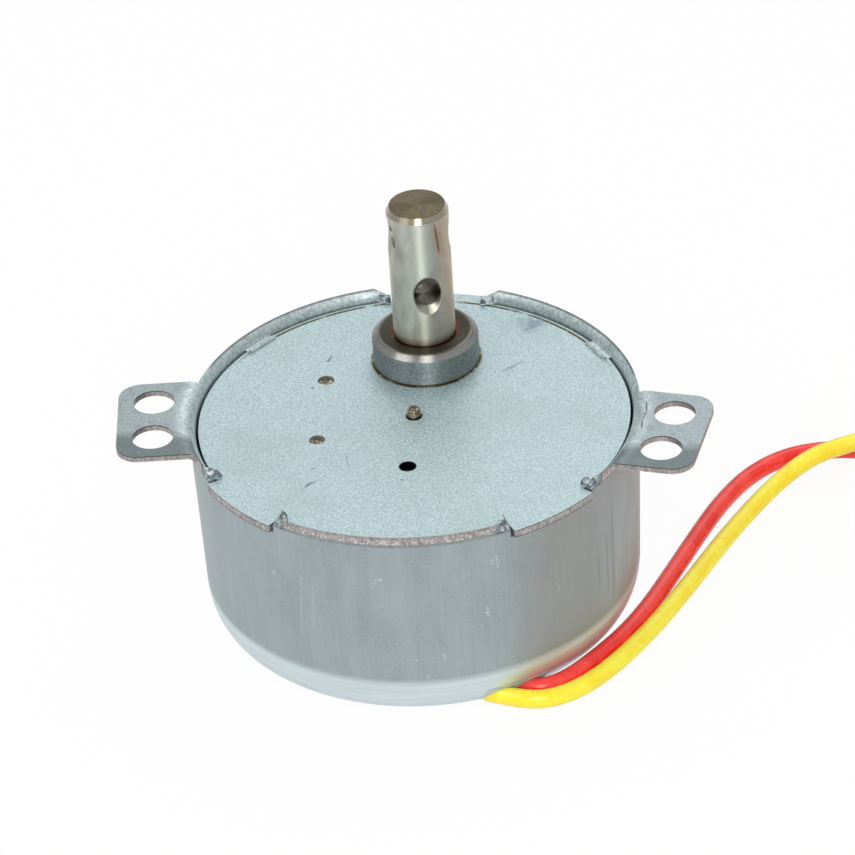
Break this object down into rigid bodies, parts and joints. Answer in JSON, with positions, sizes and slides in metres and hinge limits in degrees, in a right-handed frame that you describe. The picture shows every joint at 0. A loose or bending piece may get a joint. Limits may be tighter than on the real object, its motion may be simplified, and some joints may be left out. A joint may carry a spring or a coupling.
{
  "type": "geared synchronous motor",
  "caption": "Small round synchronous motor with a built-in reduction gear, an offset output shaft with two cross holes, two drilled ears and two insulated leads.",
  "frame": {"origin": "centre of the cup's flat bottom face", "axes": "+Z along the output shaft, +X across the two ears, +Y from the cup's axis towards the output shaft"},
  "size_m": [0.1044, 0.0834, 0.0437],
  "materials": {
    "galvanised_cup": "zinc-plated drawn steel, satin, with fine vertical draw marks and scuffs",
    "galvanised_plate": "galvanised sheet, pale blue-grey, finely speckled",
    "sintered_bush": "oil-soaked sintered bearing metal, grey-brown",
    "shaft_steel": "ground and plated steel shaft",
    "pin_steel": "polished steel pins",
    "pole_steel": "plain stamped pole steel",
    "bobbin_nylon": "natural moulded nylon",
    "magnet_wire": "enamelled copper wire, wound in layers",
    "tape_film": "yellow polyester winding tape",
    "tinned_pin": "tinned brass terminal pins",
    "ferrite": "sintered ferrite magnet",
    "gear_nylon": "moulded white nylon",
    "gear_brass": "stamped brass gear wheel",
    "pinion_steel": "cut steel pinion",
    "washer_steel": "plated steel washers",
    "bush_plastic": "moulded insulating plastic",
    "red_pvc": "glossy red PVC insulation",
    "yellow_pvc": "glossy yellow PVC insulation"
  },
  "bodies": {
    "housing": {"housing_cup": "galvanised_cup", "cover_plate": "galvanised_plate", "output_bushing": "sintered_bush", "lower_pole_ring": "pole_steel", "upper_pole_ring": "pole_steel", "coil_bobbin": "bobbin_nylon", "coil_winding": "magnet_wire", "coil_tape": "tape_film", "terminal_pins": "tinned_pin", "gear_plate": "pole_steel", "rotor_pin": "pin_steel", "first_arbor": "pin_steel", "second_arbor": "pin_steel", "third_arbor": "pin_steel", "thrust_washers": "washer_steel", "lead_bush": "bush_plastic", "red_lead": "red_pvc", "yellow_lead": "yellow_pvc", "red_coil": "red_pvc", "yellow_coil": "yellow_pvc"},
    "rotor": {"rotor_magnet": "ferrite", "rotor_hub": "gear_nylon"},
    "first_stage": {"first_gear": "gear_nylon"},
    "second_stage": {"second_wheel": "gear_brass", "second_pinion": "pinion_steel"},
    "third_stage": {"third_wheel": "gear_brass", "third_pinion": "pinion_steel"},
    "output": {"output_wheel": "gear_brass", "output_shaft": "shaft_steel", "output_washer": "washer_steel"}
  },
  "joints": [
    {"name": "output_spin", "type": "hinge", "parent": "housing", "child": "output", "pos_m": [0, 0.0118, 0.018], "axis": [0, 0, 1], "continuous": true},
    {"name": "third_stage_spin", "type": "hinge", "parent": "housing", "child": "third_stage", "pos_m": [-0.01077, 0.0067, 0.018], "axis": [0, 0, 1], "continuous": true},
    {"name": "second_stage_spin", "type": "hinge", "parent": "housing", "child": "second_stage", "pos_m": [-0.01015, -0.00512, 0.018], "axis": [0, 0, 1], "continuous": true},
    {"name": "first_stage_spin", "type": "hinge", "parent": "housing", "child": "first_stage", "pos_m": [0.00047, -0.00983, 0.018], "axis": [0, 0, 1], "continuous": true},
    {"name": "rotor_spin", "type": "hinge", "parent": "housing", "child": "rotor", "pos_m": [0, 0, 0.018], "axis": [0, 0, 1], "continuous": true}
  ],
  "couplings": [
    {"joint": "third_stage_spin", "follows": "output_spin", "ratio": -3},
    {"joint": "second_stage_spin", "follows": "output_spin", "ratio": 10},
    {"joint": "first_stage_spin", "follows": "output_spin", "ratio": -33.333},
    {"joint": "rotor_spin", "follows": "output_spin", "ratio": 100}
  ]
}
